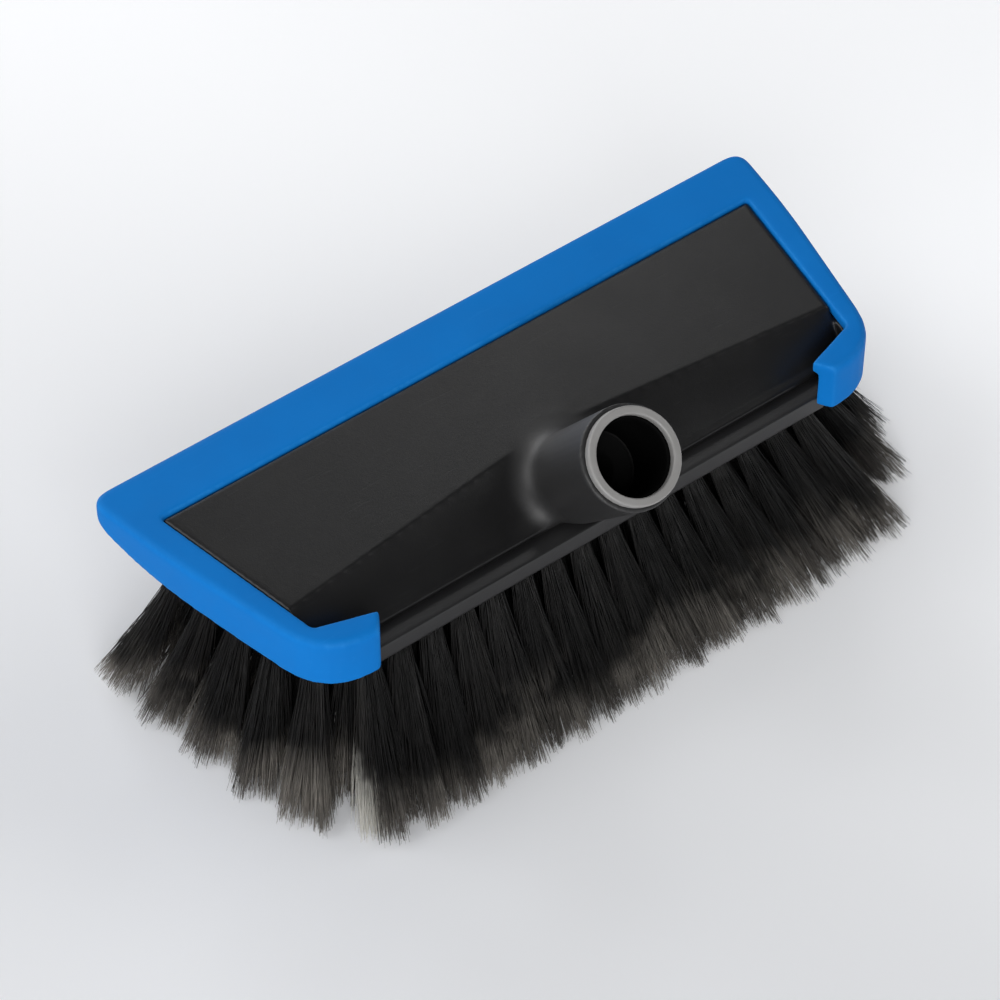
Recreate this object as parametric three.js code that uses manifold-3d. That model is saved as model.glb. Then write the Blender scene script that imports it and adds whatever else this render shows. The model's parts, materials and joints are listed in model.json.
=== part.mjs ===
// Wash brush head for solar panels: a two-shell block with an inclined pole socket,
// a rubber bumper round the back and both ends, and a fanned bristle field underneath.
// Millimetres, +Z up. The bristle tips stand on z = 0 and the pole leaves towards -Y.

import * as THREE from 'three';
import { mergeGeometries, mergeVertices } from 'three/addons/utils/BufferGeometryUtils.js';
import Module from 'manifold-3d';

const wasm = await Module();
wasm.setup();

// Fits
const fitGap = 0.3; // between pieces that touch
const cutMargin = 5; // how far a cutting solid runs past what it cuts
const roundShare = 0.45; // the most of a side that one rounded corner takes

// Heights
const bristleDrop = 47.7; // floor to the underside of the base
const baseThickness = 7;
const coverHeight = 15; // seam to the top plate

// Top plate, seen from above. Depths are measured forward from its back edge.
const plateLength = 230;
const plateEndDepth = 63; // front end of its end edges
const plateEndTaper = 11.5; // how far each end draws in towards the front
const plateWall = 3.5;

// Front of the cover: an inclined facet, then a ledge
const facetFootDepth = 61;
const facetDrop = 11;
const facetTopDepth = 41; // at mid-length
const facetTopSkew = 0.115; // the upper edge comes forward by this much per millimetre of length
const facetSteps = 12; // strips along the head that make up its slight twist
const ledgeDepth = 3.3;
const ledgeFall = 1.5;

// Bumper, seen from above. Its ends are placed from the ends of the plate's back edge.
const backLip = 20.5; // rubber behind the top plate
const backEndLip = 13.8; // rubber past the plate at the back corners
const waistEndLip = 9;
const waistDepth = 10;
const frontEndInset = 7; // how far the front corners stand in
const frontDepth = 76;
const backCornerRound = 7;
const waistRound = 26;
const frontCornerRound = 18;
const hookTipLength = 24; // from the front corner in to the hook's pointed tip
const hookTipDepth = 69;
const hookFootLength = 19.5; // the same where the hook meets the front
const hookCap = 3; // rubber over the ends of the cover's rim
const cornerSteps = 6;

// Bumper, in section
const bumperWall = 3.7;
const bumperProud = 1; // rubber above the top plate
const flangeThickness = 4.5;
const gripLip = 1.8; // rubber under the cover's rim
const bumperBackHeight = 7;
const bumperFrontHeight = 18.7;
const bumperSweepDepth = -8; // where the lower edge would turn from steep to level, were it not curved
const bumperSweepSteps = 8;
const bumperEdgeRound = 2;
const bumperEdgeSteps = 3;

// Skirt of the cover and outline of the base, inward from the bumper's outline
const skirtEndInset = 6.5;
const skirtBackInset = 11;
const skirtFrontInset = 5.5;

// Water chamber and its seal
const sealEndInset = 11;
const sealBackInset = 14.5;
const sealFrontInset = 15;
const sealWidth = 4;
const sealHeight = 1.8;
const chamberMargin = 4; // from the seal to the chamber
const chamberFrontDepth = 38;

// Pole socket. Its mouth is placed from the plate's back edge and the plate's top.
const socketTilt = THREE.MathUtils.degToRad(50);
const mouthDepth = 85.4;
const mouthRise = 26.9;
const poleBore = 24;
const sleeveWall = 1.6;
const rimDiameter = 31;
const rimBore = 25.4;
const rimThickness = 3;
const rimChamfer = 0.4;
const socketDepth = 30;
const bossDiameter = 33.6; // at the mouth
const bossLength = 46; // from the mouth to its rounded end
const bossTaper = 1.9; // how far its radius draws in over that length
const bossEndLength = 8;
const bossEndSteps = 5;
const gussetFootWidth = 42; // under the boss, on the ledge
const gussetTopWidth = 12;
const gussetFrontSetback = 0.6; // from the ledge's front
const waterwayBore = 13; // behind the seat
const waterwayLength = 15;
const channelBore = 7; // level, from the waterway into the chamber
const socketSides = 40;

// Screws from below, and water jets
const screwHeadDiameter = 6.5;
const screwHeadHeight = 2.2;
const screwShankDiameter = 3.2;
const screwLength = 14;
const screwPostDiameter = 9;
const driveWidth = 1;
const driveDepth = 1.2;
const jetFlangeDiameter = 8;
const jetFlangeHeight = 1.6;
const jetBarrelDiameter = 5.4;
const jetBore = 1.6;
const smallSides = 14;

// Bristle field
const backingThickness = 3;
const backingRim = 2.5; // wall of the base round the backing
const tuftColumns = 16;
const tuftRows = 6;
const rootEndMargin = 2.5; // backing left outside the outermost strands
const rootFrontMargin = 1.2;
const rootBackMargin = 8.5;
const tipLength = 268;
const tipFrontDepth = 99;
const tipBackDepth = -15;
const frontRounding = 0.55; // 0 is a square corner, 1 is a full ellipse
const backRounding = 0;
const cornerLift = 3; // front corner tips end this far above the floor
const strandRadius = 1.1;
const strandRootSpread = 1.5;
const strandTipSpread = 3.8;
const strandEmbed = 1.5;

// Levels and places worked out from the sizes above
const baseTop = bristleDrop + baseThickness;
const coverBottom = baseTop + fitGap;
const plateTop = coverBottom + coverHeight;
const bumperTop = plateTop + bumperProud;
const rimTop = bumperTop - flangeThickness - fitGap;
const backingTop = bristleDrop + backingThickness;
const baseCeiling = backingTop + fitGap;
const coverFrontDepth = facetFootDepth + ledgeDepth;
const headLength = plateLength + 2 * backEndLip;
const waistLength = plateLength + 2 * waistEndLip;
const frontLength = plateLength - 2 * frontEndInset;
const hookTipHalf = frontLength / 2 - hookTipLength;
const hookFootHalf = frontLength / 2 - hookFootLength;
const plateBackY = (tipFrontDepth - backLip) / 2; // centres the head and its bristles on y = 0
const clearance = 2 * fitGap; // on a diameter

const yAt = (depth) => plateBackY - depth;

// A closed mesh as a solid, and a solid as a mesh geometry.
function solid(geometry) {
  const bare = geometry.clone();
  bare.deleteAttribute('normal');
  bare.deleteAttribute('uv');
  const merged = mergeVertices(bare, 1e-4);
  const mesh = new wasm.Mesh({
    numProp: 3,
    vertProperties: new Float32Array(merged.attributes.position.array),
    triVerts: new Uint32Array(merged.index.array),
  });
  return new wasm.Manifold(mesh);
}

function geometryOf(body) {
  const mesh = body.getMesh();
  const geometry = new THREE.BufferGeometry();
  geometry.setAttribute('position', new THREE.BufferAttribute(new Float32Array(mesh.vertProperties), 3));
  geometry.setIndex(new THREE.BufferAttribute(new Uint32Array(mesh.triVerts), 1));
  const flat = geometry.toNonIndexed();
  flat.computeVertexNormals();
  return flat;
}

const join = (first, ...others) => others.reduce((sum, next) => sum.add(next), first);
const cut = (first, ...others) => others.reduce((rest, next) => rest.subtract(next), first);

// A closed outline whose corners [x, y, round] are rounded off, as far as their sides allow.
function roundedShape(corners) {
  const shape = new THREE.Shape();
  corners.forEach(([x, y, round], i) => {
    const corner = new THREE.Vector2(x, y);
    const before = new THREE.Vector2(...corners.at(i - 1)).sub(corner);
    const after = new THREE.Vector2(...corners[(i + 1) % corners.length]).sub(corner);
    const longest = roundShare * Math.min(before.length(), after.length());
    const reach = THREE.MathUtils.clamp(round, 0, longest);
    const start = before.setLength(reach).add(corner);
    const end = after.setLength(reach).add(corner);
    if (i === 0) shape.moveTo(start.x, start.y);
    else shape.lineTo(start.x, start.y);
    if (reach > 0) shape.quadraticCurveTo(x, y, end.x, end.y);
  });
  shape.closePath();
  return shape;
}

// A right half given from back to front becomes a whole outline, mirrored in x.
function mirrored(rightHalf) {
  const leftHalf = rightHalf.map(([x, y, round]) => [-x, y, round]).reverse();
  return roundedShape([...rightHalf, ...leftHalf].reverse());
}

// The bumper's outline, drawn in at its ends, back and front.
function headOutline(ends, back, front) {
  const inset = Math.min(ends, back, front);
  return mirrored([
    [headLength / 2 - ends, yAt(-backLip) - back, backCornerRound],
    [waistLength / 2 - ends, yAt(waistDepth), waistRound],
    [frontLength / 2 - ends, yAt(frontDepth) + front, frontCornerRound - inset],
  ]);
}

// What lies inside the bumper has straight ends, drawn in from the bumper's corners.
function innerOutline(ends, back, front) {
  const inset = Math.min(ends, back, front);
  return mirrored([
    [headLength / 2 - ends, yAt(-backLip) - back, backCornerRound],
    [frontLength / 2 - ends, yAt(frontDepth) + front, frontCornerRound - inset],
  ]);
}

const skirtOutline = (grow) =>
  innerOutline(skirtEndInset - grow, skirtBackInset - grow, skirtFrontInset - grow);
const skirtBackDepth = skirtBackInset - backLip;
const skirtFrontDepth = frontDepth - skirtFrontInset;

function skirtHalfAt(depth) {
  const length = THREE.MathUtils.mapLinear(depth, skirtBackDepth, skirtFrontDepth, headLength, frontLength);
  return length / 2 - skirtEndInset;
}

// The space inside the bumper, from the plate's back edge round to the hooks' ends.
function plateOpening(grow, hookRoom) {
  const frontHalf = plateLength / 2 - plateEndTaper;
  const tipHalf = hookTipHalf + hookRoom;
  const footHalf = hookFootHalf + hookRoom;
  return mirrored([
    [plateLength / 2 + grow, yAt(0) + grow, 0],
    [frontHalf + grow, yAt(plateEndDepth), 0],
    [tipHalf, yAt(hookTipDepth) - grow, 0],
    [footHalf, yAt(frontDepth), 0],
    [footHalf, yAt(frontDepth + cutMargin), 0],
  ]);
}

function plateOutline() {
  return mirrored([
    [plateLength / 2, yAt(0), 0],
    [plateLength / 2 - plateEndTaper, yAt(plateEndDepth), 0],
    [hookTipHalf, yAt(coverFrontDepth), 0],
  ]);
}

function upright(shape, bottom, top) {
  const options = { depth: top - bottom, bevelEnabled: false, curveSegments: cornerSteps };
  return solid(new THREE.ExtrudeGeometry(shape, options).translate(0, 0, bottom));
}

// A side profile of [depth, height] points, run along the whole head.
const alongHead = new THREE.Matrix4().makeBasis(
  new THREE.Vector3(0, 1, 0),
  new THREE.Vector3(0, 0, 1),
  new THREE.Vector3(1, 0, 0),
);
function lengthwiseGeometry(profile, steps) {
  const shape = new THREE.Shape(profile.map(([depth, z]) => new THREE.Vector2(yAt(depth), z)));
  const options = { depth: headLength, steps, bevelEnabled: false };
  return new THREE.ExtrudeGeometry(shape, options).translate(0, 0, -headLength / 2).applyMatrix4(alongHead);
}

// A front profile of [x, height] points, run from one depth to another.
function crosswise(profile, backDepth, frontEndDepth) {
  const shape = new THREE.Shape(profile.map(([x, z]) => new THREE.Vector2(x, z)));
  const options = { depth: frontEndDepth - backDepth, bevelEnabled: false };
  const geometry = new THREE.ExtrudeGeometry(shape, options).rotateX(Math.PI / 2);
  return solid(geometry.translate(0, yAt(backDepth), 0));
}

// Everything under the bumper's lower edge, which sweeps down from the back and levels out to the front.
function underBumper(raise) {
  const back = bumperTop - bumperBackHeight + raise;
  const front = bumperTop - bumperFrontHeight + raise;
  const sweep = new THREE.QuadraticBezierCurve(
    new THREE.Vector2(-backLip, back),
    new THREE.Vector2(bumperSweepDepth, front),
    new THREE.Vector2(frontDepth, front),
  );
  return solid(lengthwiseGeometry([
    [-backLip - cutMargin, back],
    ...sweep.getPoints(bumperSweepSteps).map((point) => point.toArray()),
    [frontDepth + cutMargin, front],
    [frontDepth + cutMargin, 0],
    [-backLip - cutMargin, 0],
  ], 1));
}

// The facet and ledge between the bumper's hooks: its upper edge bows back at mid-length.
function frontRecess() {
  const above = bumperTop + cutMargin;
  const ledge = plateTop - facetDrop;
  const geometry = lengthwiseGeometry([
    [facetTopDepth, plateTop],
    [facetFootDepth, ledge],
    [coverFrontDepth, ledge - ledgeFall],
    [coverFrontDepth, coverBottom - cutMargin],
    [frontDepth + cutMargin, coverBottom - cutMargin],
    [frontDepth + cutMargin, above],
    [facetTopDepth, above],
  ], facetSteps);
  const place = geometry.attributes.position;
  for (let i = 0; i < place.count; i += 1) {
    const onFacetTop = place.getZ(i) >= plateTop && place.getY(i) > yAt(facetFootDepth);
    if (onFacetTop) place.setY(i, place.getY(i) - facetTopSkew * Math.abs(place.getX(i)));
  }
  return solid(geometry).intersect(upright(plateOpening(fitGap, hookCap), coverBottom - cutMargin, above));
}

// Socket pieces are turned about the local Y axis, with their mouth at y = 0.
function turned(profile, sides) {
  return new THREE.LatheGeometry(profile.map(([r, y]) => new THREE.Vector2(r, y)), sides);
}

const socketTurn = Math.PI - socketTilt;
const socketMouth = new THREE.Vector3(0, yAt(mouthDepth), plateTop + mouthRise);

function intoSocket(geometry) {
  return geometry.rotateX(socketTurn).translate(...socketMouth);
}

const bossTop = -(rimThickness + fitGap); // the ring sits on it
const sleeveRadius = poleBore / 2 + sleeveWall;
const sealRingSection = sleeveWall; // the seal ring lies under the sleeve's end
const sealRingRadius = poleBore / 2 + sealRingSection / 2;

// A tapered tube with a rounded end, on a gusset that widens down to the ledge.
function socketBoss() {
  const mouthRadius = bossDiameter / 2;
  const endRadius = mouthRadius - bossTaper;
  const roundedEnd = new THREE.Path();
  roundedEnd.absellipse(0, -bossLength, endRadius, bossEndLength, -Math.PI / 2, 0);
  const end = roundedEnd.getPoints(bossEndSteps).map(({ x, y }) => [x, y]);
  const tube = solid(intoSocket(turned([...end, [mouthRadius, bossTop], [0, bossTop]], socketSides)));
  const gussetFront = coverFrontDepth - gussetFrontSetback;
  const gusset = crosswise([
    [-gussetFootWidth / 2, coverBottom],
    [gussetFootWidth / 2, coverBottom],
    [gussetTopWidth / 2, plateTop],
    [-gussetTopWidth / 2, plateTop],
  ], chamberFrontDepth, gussetFront);
  const above = upright(headOutline(0, 0, -mouthDepth), coverBottom, plateTop + 2 * mouthRise);
  return join(tube.intersect(above), gusset);
}

function socketBore() {
  const bore = sleeveRadius + fitGap;
  const seat = -socketDepth;
  return solid(intoSocket(turned([
    [0, seat - waterwayLength],
    [waterwayBore / 2, seat - waterwayLength],
    [waterwayBore / 2, seat],
    [bore, seat],
    [bore, cutMargin],
    [0, cutMargin],
  ], socketSides)));
}

function waterChannel() {
  const inward = new THREE.Vector3(0, -1, 0).applyAxisAngle(new THREE.Vector3(1, 0, 0), socketTurn);
  const start = inward.multiplyScalar(socketDepth + waterwayLength).add(socketMouth);
  const length = yAt(chamberFrontDepth / 2) - start.y;
  const channel = new THREE.CylinderGeometry(channelBore / 2, channelBore / 2, length, smallSides);
  return solid(channel.translate(start.x, start.y + length / 2, start.z));
}

function rod(diameter, x, y, bottom, top) {
  const geometry = new THREE.CylinderGeometry(diameter / 2, diameter / 2, top - bottom, smallSides);
  return solid(geometry.rotateX(Math.PI / 2).translate(x, y, (bottom + top) / 2));
}

// Bristle field: u runs along the head and v from back to front, both from -1 to 1.
function rounded(u, v) {
  const rounding = v > 0 ? frontRounding : backRounding;
  return [u * Math.sqrt(1 - rounding * v * v / 2), v * Math.sqrt(1 - rounding * u * u / 2)];
}

const tuftInset = backingRim + fitGap + strandRootSpread + strandRadius;
const rootFront = skirtFrontDepth - tuftInset - rootFrontMargin;
const rootBack = skirtBackDepth + tuftInset + rootBackMargin;
function rootAt(u, v) {
  const [across, forward] = rounded(u, v);
  const depth = THREE.MathUtils.mapLinear(forward, -1, 1, rootBack, rootFront);
  return [across * (skirtHalfAt(depth) - tuftInset - rootEndMargin), yAt(depth)];
}

function tipAt(u, v) {
  const [across, forward] = rounded(u, v);
  const reach = strandTipSpread + strandRadius;
  const depth = THREE.MathUtils.mapLinear(forward, -1, 1, tipBackDepth + reach, tipFrontDepth - reach);
  const lift = v > 0 ? cornerLift * (u * v) ** 2 : 0;
  return [across * (tipLength / 2 - reach), yAt(depth), lift];
}

// Screws and jets sit between four tufts, so they are placed in half steps of the tuft grid.
const columnStep = 2 / (tuftColumns - 1);
const rowStep = 2 / (tuftRows - 1);
const between = (columns, rows) => rootAt(columns * columnStep, rows * rowStep);
const screwPlaces = [
  ['screw_rear_left', between(-6, -2)],
  ['screw_rear_mid_left', between(-2, -2)],
  ['screw_rear_mid_right', between(2, -2)],
  ['screw_rear_right', between(6, -2)],
  ['screw_front_left', between(-6, 1)],
  ['screw_front_right', between(6, 1)],
];
const jetPlaces = [
  ['water_jet_left', between(-5, -1)],
  ['water_jet_mid_left', between(-2, -1)],
  ['water_jet_mid_right', between(2, -1)],
  ['water_jet_right', between(5, -1)],
];

const screwTop = baseCeiling + screwLength;
const screwHole = screwShankDiameter + clearance;

function topCover() {
  const rimInset = bumperWall + fitGap;
  const rim = cut(upright(headOutline(rimInset, rimInset, rimInset), 0, rimTop), underBumper(gripLip));
  const skirt = upright(skirtOutline(0), coverBottom, rimTop);
  const plate = upright(plateOutline(), coverBottom, plateTop);
  const shell = join(cut(join(rim, skirt, plate), frontRecess()), socketBoss());
  const floor = upright(headOutline(0, 0, 0), 0, coverBottom);
  const chamberInset = sealWidth + chamberMargin;
  const chamber = upright(
    innerOutline(sealEndInset + chamberInset, sealBackInset + chamberInset, frontDepth - chamberFrontDepth),
    coverBottom - cutMargin,
    plateTop - plateWall,
  );
  const posts = screwPlaces.map(([, [x, y]]) => rod(screwPostDiameter, x, y, coverBottom, plateTop));
  const pilots = screwPlaces.map(([, [x, y]]) => rod(screwHole, x, y, coverBottom - 1, screwTop + 1));
  return cut(shell, floor, cut(chamber, ...posts), socketBore(), waterChannel(), ...pilots);
}

function sealRing(grow) {
  const outer = innerOutline(sealEndInset - grow, sealBackInset - grow, sealFrontInset - grow);
  const inner = innerOutline(
    sealEndInset + sealWidth + grow,
    sealBackInset + sealWidth + grow,
    sealFrontInset + sealWidth + grow,
  );
  outer.holes.push(inner);
  return outer;
}

function bristleBase() {
  const slab = upright(skirtOutline(0), bristleDrop, baseTop);
  const tray = upright(skirtOutline(-backingRim), bristleDrop - 1, baseCeiling);
  const groove = upright(sealRing(fitGap), baseTop - sealHeight - fitGap, baseTop + 1);
  const screwHoles = screwPlaces.map(([, [x, y]]) => rod(screwHole, x, y, bristleDrop, baseTop + 1));
  const jetHoles = jetPlaces.map(([, [x, y]]) =>
    rod(jetBarrelDiameter + clearance, x, y, bristleDrop, baseTop + 1));
  return cut(slab, tray, groove, ...screwHoles, ...jetHoles);
}

function bumper() {
  const options = {
    depth: bumperTop - bristleDrop - 2 * bumperEdgeRound,
    curveSegments: cornerSteps,
    bevelThickness: bumperEdgeRound,
    bevelSize: bumperEdgeRound,
    bevelOffset: -bumperEdgeRound,
    bevelSegments: bumperEdgeSteps,
  };
  const block = new THREE.ExtrudeGeometry(headOutline(0, 0, 0), options);
  block.translate(0, 0, bristleDrop + bumperEdgeRound);
  const rimSpace = cut(
    upright(headOutline(bumperWall, bumperWall, bumperWall), 0, rimTop + fitGap),
    underBumper(gripLip - fitGap),
    upright(plateOpening(0, hookCap - fitGap), 0, bumperTop),
  );
  const skirtSpace = upright(skirtOutline(fitGap), 0, rimTop + fitGap);
  const opening = upright(plateOpening(fitGap, 0), 0, bumperTop + cutMargin);
  return cut(solid(block), underBumper(0), rimSpace, skirtSpace, opening);
}

function screw() {
  const radius = screwHeadDiameter / 2;
  const shank = screwShankDiameter / 2;
  const profile = [[0, 0], [radius, 0], [radius, screwHeadHeight], [shank, screwHeadHeight],
    [shank, screwHeadHeight + screwLength - shank], [0, screwHeadHeight + screwLength]];
  const slot = new THREE.BoxGeometry(screwHeadDiameter, driveWidth, 2 * driveDepth);
  const cross = slot.clone().rotateZ(Math.PI / 2);
  return cut(solid(turned(profile, smallSides).rotateX(Math.PI / 2)), solid(slot), solid(cross));
}

function waterJet() {
  const length = jetFlangeHeight + baseTop - baseCeiling;
  return turned([
    [jetBore / 2, 0],
    [jetFlangeDiameter / 2, 0],
    [jetFlangeDiameter / 2, jetFlangeHeight],
    [jetBarrelDiameter / 2, jetFlangeHeight],
    [jetBarrelDiameter / 2, length],
    [jetBore / 2, length],
    [jetBore / 2, 0],
  ], smallSides).rotateX(Math.PI / 2);
}

// A pale ring caps the boss and the dark sleeve that lines it.
function socketRing() {
  const bore = rimBore / 2;
  const rim = rimDiameter / 2;
  return turned([
    [bore, -rimThickness],
    [rim, -rimThickness],
    [rim, -rimChamfer],
    [rim - rimChamfer, 0],
    [bore + rimChamfer, 0],
    [bore, -rimChamfer],
    [bore, -rimThickness],
  ], socketSides);
}

function socketSleeve() {
  const bore = poleBore / 2;
  const end = -(socketDepth - sealRingSection - clearance);
  return turned([
    [bore, end],
    [sleeveRadius, end],
    [sleeveRadius, bossTop],
    [bore, bossTop],
    [bore, end],
  ], socketSides);
}

function socketSeal() {
  const middle = -(socketDepth - fitGap - sealRingSection / 2);
  const section = new THREE.Path().absarc(sealRingRadius, middle, sealRingSection / 2, 0, 2 * Math.PI);
  return new THREE.LatheGeometry(section.getPoints(4), socketSides);
}

// One strand: a three-sided prism whose root and tip are both level triangles.
function strand([rootX, rootY], [tipX, tipY, tipZ]) {
  const geometry = new THREE.CylinderGeometry(strandRadius, strandRadius, 1, 3).rotateX(Math.PI / 2);
  const place = geometry.attributes.position;
  for (let i = 0; i < place.count; i += 1) {
    const atRoot = place.getZ(i) > 0;
    const x = place.getX(i) + (atRoot ? rootX : tipX);
    const y = place.getY(i) + (atRoot ? rootY : tipY);
    place.setXYZ(i, x, y, atRoot ? bristleDrop + strandEmbed : tipZ);
  }
  return geometry;
}

function tuft(u, v) {
  const [rootX, rootY] = rootAt(u, v);
  const [tipX, tipY, tipZ] = tipAt(u, v);
  const corners = [[-1, -1], [1, -1], [1, 1], [-1, 1]];
  return corners.map(([i, j]) => strand(
    [rootX + i * strandRootSpread, rootY + j * strandRootSpread],
    [tipX + i * strandTipSpread, tipY + j * strandTipSpread, tipZ],
  ));
}

// A quarter of the bristle field on its slice of backing.
function bristleQuarter(side, end) {
  const strands = [];
  for (let column = 0; column < tuftColumns; column += 1) {
    for (let row = 0; row < tuftRows; row += 1) {
      const u = -1 + column * columnStep;
      const v = -1 + row * rowStep;
      if (u * side > 0 && v * end > 0) strands.push(...tuft(u, v));
    }
  }
  const [, splitY] = rootAt(0, 0);
  const quarter = new THREE.BoxGeometry(headLength, headLength, 2 * bristleDrop + 2 * baseThickness);
  quarter.translate(side * (headLength + fitGap) / 2, splitY - end * (headLength + fitGap) / 2, 0);
  const wholeBacking = upright(skirtOutline(-backingRim - fitGap), bristleDrop, backingTop);
  const backing = wholeBacking.intersect(solid(quarter));
  const headHoles = screwPlaces.map(([, [x, y]]) =>
    rod(screwHeadDiameter + clearance, x, y, bristleDrop - 1, backingTop + 1));
  const jetHoles = jetPlaces.map(([, [x, y]]) =>
    rod(jetFlangeDiameter + clearance, x, y, bristleDrop - 1, backingTop + 1));
  return join(cut(backing, ...headHoles, ...jetHoles), solid(mergeGeometries(strands)));
}

const plastic = () => new THREE.MeshStandardMaterial({ color: 0x3a3a3b, roughness: 0.6, metalness: 0 });
const rubber = () => new THREE.MeshStandardMaterial({ color: 0x1a74c4, roughness: 0.55, metalness: 0 });
const seal = () => new THREE.MeshStandardMaterial({ color: 0x141414, roughness: 0.8, metalness: 0 });
const paleGrey = () => new THREE.MeshStandardMaterial({ color: 0x96948f, roughness: 0.4, metalness: 0 });
const steel = () => new THREE.MeshStandardMaterial({ color: 0xb4b6b8, roughness: 0.35, metalness: 1 });
const filament = () => new THREE.MeshStandardMaterial({ color: 0x1c1b1b, roughness: 0.6, metalness: 0 });

function piece(name, geometry, material) {
  const mesh = new THREE.Mesh(geometry, material);
  mesh.name = name;
  return mesh;
}

const brush = new THREE.Group();
brush.add(piece('top_cover', geometryOf(topCover()), plastic()));
brush.add(piece('bristle_base', geometryOf(bristleBase()), plastic()));
brush.add(piece('bumper', geometryOf(bumper()), rubber()));

const chamberSeal = upright(sealRing(0), baseTop - sealHeight, baseTop);
brush.add(piece('chamber_seal', geometryOf(chamberSeal), seal()));

const socket = new THREE.Group();
socket.position.copy(socketMouth);
socket.rotation.x = socketTurn;
socket.add(piece('socket_ring', socketRing(), paleGrey()));
socket.add(piece('socket_sleeve', socketSleeve(), plastic()));
socket.add(piece('socket_seal', socketSeal(), seal()));
brush.add(socket);

for (const [name, [x, y]] of screwPlaces) {
  const mesh = piece(name, geometryOf(screw()), steel());
  mesh.position.set(x, y, baseCeiling - fitGap - screwHeadHeight);
  brush.add(mesh);
}

for (const [name, [x, y]] of jetPlaces) {
  const mesh = piece(name, waterJet(), paleGrey());
  mesh.position.set(x, y, baseCeiling - fitGap - jetFlangeHeight);
  brush.add(mesh);
}

for (const [side, sideName] of [[-1, 'left'], [1, 'right']]) {
  for (const [end, endName] of [[1, 'front'], [-1, 'rear']]) {
    brush.add(piece(`bristles_${endName}_${sideName}`, geometryOf(bristleQuarter(side, end)), filament()));
  }
}

export default brush;
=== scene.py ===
# Wash brush head for solar panels: finishes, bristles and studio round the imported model.
# Metres, +Z up. The bristle tips stand on z = 0 and the pole side faces -Y.

import json
import math

import bmesh
import bpy
import numpy as np
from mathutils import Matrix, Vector


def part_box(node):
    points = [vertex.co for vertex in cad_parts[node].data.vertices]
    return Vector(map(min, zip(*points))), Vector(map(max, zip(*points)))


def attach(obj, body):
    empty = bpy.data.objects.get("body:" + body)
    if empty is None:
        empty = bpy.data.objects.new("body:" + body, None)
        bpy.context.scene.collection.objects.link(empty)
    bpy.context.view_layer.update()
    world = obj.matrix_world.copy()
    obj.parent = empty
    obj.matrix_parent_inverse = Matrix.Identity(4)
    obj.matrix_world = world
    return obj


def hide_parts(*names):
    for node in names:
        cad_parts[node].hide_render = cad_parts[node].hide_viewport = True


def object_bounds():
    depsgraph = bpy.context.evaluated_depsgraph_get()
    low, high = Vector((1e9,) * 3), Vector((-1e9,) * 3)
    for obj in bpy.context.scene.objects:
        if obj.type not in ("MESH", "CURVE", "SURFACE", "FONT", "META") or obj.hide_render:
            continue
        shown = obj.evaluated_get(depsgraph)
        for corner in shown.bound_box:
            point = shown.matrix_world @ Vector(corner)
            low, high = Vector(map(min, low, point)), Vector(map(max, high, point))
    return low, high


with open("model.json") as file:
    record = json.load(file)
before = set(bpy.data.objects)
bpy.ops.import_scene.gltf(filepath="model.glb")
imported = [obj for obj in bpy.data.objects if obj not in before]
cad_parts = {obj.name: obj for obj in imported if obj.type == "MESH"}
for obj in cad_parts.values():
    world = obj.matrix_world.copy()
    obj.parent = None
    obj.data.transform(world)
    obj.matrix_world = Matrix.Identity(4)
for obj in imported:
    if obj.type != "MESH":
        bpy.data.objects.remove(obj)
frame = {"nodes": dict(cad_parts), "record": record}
cad_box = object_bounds()

MM = 0.001
BODY = "root"

# Pole socket, from the mount on its rim
RIM = next(mount for mount in frame["record"]["mounts"] if mount["name"] == "pole_rim")
SOCKET_AXIS = Vector(RIM["axis"])
SOCKET_MOUTH = Vector((0, *RIM["pos_m"][1:]))

# Camera, from the photograph's perspective of the top plate
PHOTO_SIZE = 1000
FOCAL_PIXELS = 4126
SENSOR_WIDTH = 36
PLATE_BACK = Vector((0, 39.25, 70)) * MM  # middle of the plate's back edge
PLATE_BACK_PIXEL = (466.26, 354.67)
CAMERA_AZIMUTH = math.radians(-36.53)
CAMERA_ELEVATION = math.radians(45.96)
CAMERA_DISTANCE = 1.3

# Fillet where the socket's boss leaves the cover
BOSS_FOOT = (0, -15 * MM, 65 * MM)
BOSS_FILLET_REACH = 38 * MM
SETTLING_PASSES = 600
HALF_WAY = 0.5  # share of the way to its neighbours' middle that a point moves in one pass
FILLET_FADE = 3  # the fillet is full in the inner two thirds of its reach and fades over the rest
BORE_RADIUS = 14.6 * MM  # what lies inside this, round the socket's axis, is left as it is

# Round the socket: painted shade makes the bore black, and painted light makes the boss a lighter grey
BORE_PAINTED_SHADE_COLOUR = (0.0012, 0.0012, 0.0012, 1)
BORE_ROUGHNESS = 0.95
BOSS_PAINTED_LIGHT_COLOUR = (0.019, 0.0187, 0.019, 1)
BOSS_ROUGHNESS = 0.48
BOSS_PAINTED_LIGHT_RADIUS = 17.5 * MM  # the painted light's grey is full this far from the socket's axis
BOSS_PAINTED_LIGHT_FADE = 24 * MM  # and gone at this distance

# Inclined facet in front of the plate, and the least lean of its normals to the front
FACET_LOW = np.array([-105, -22.5, 58.5]) * MM
FACET_HIGH = np.array([105, -1, 70.2]) * MM
FACET_LEAN = 0.25

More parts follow.
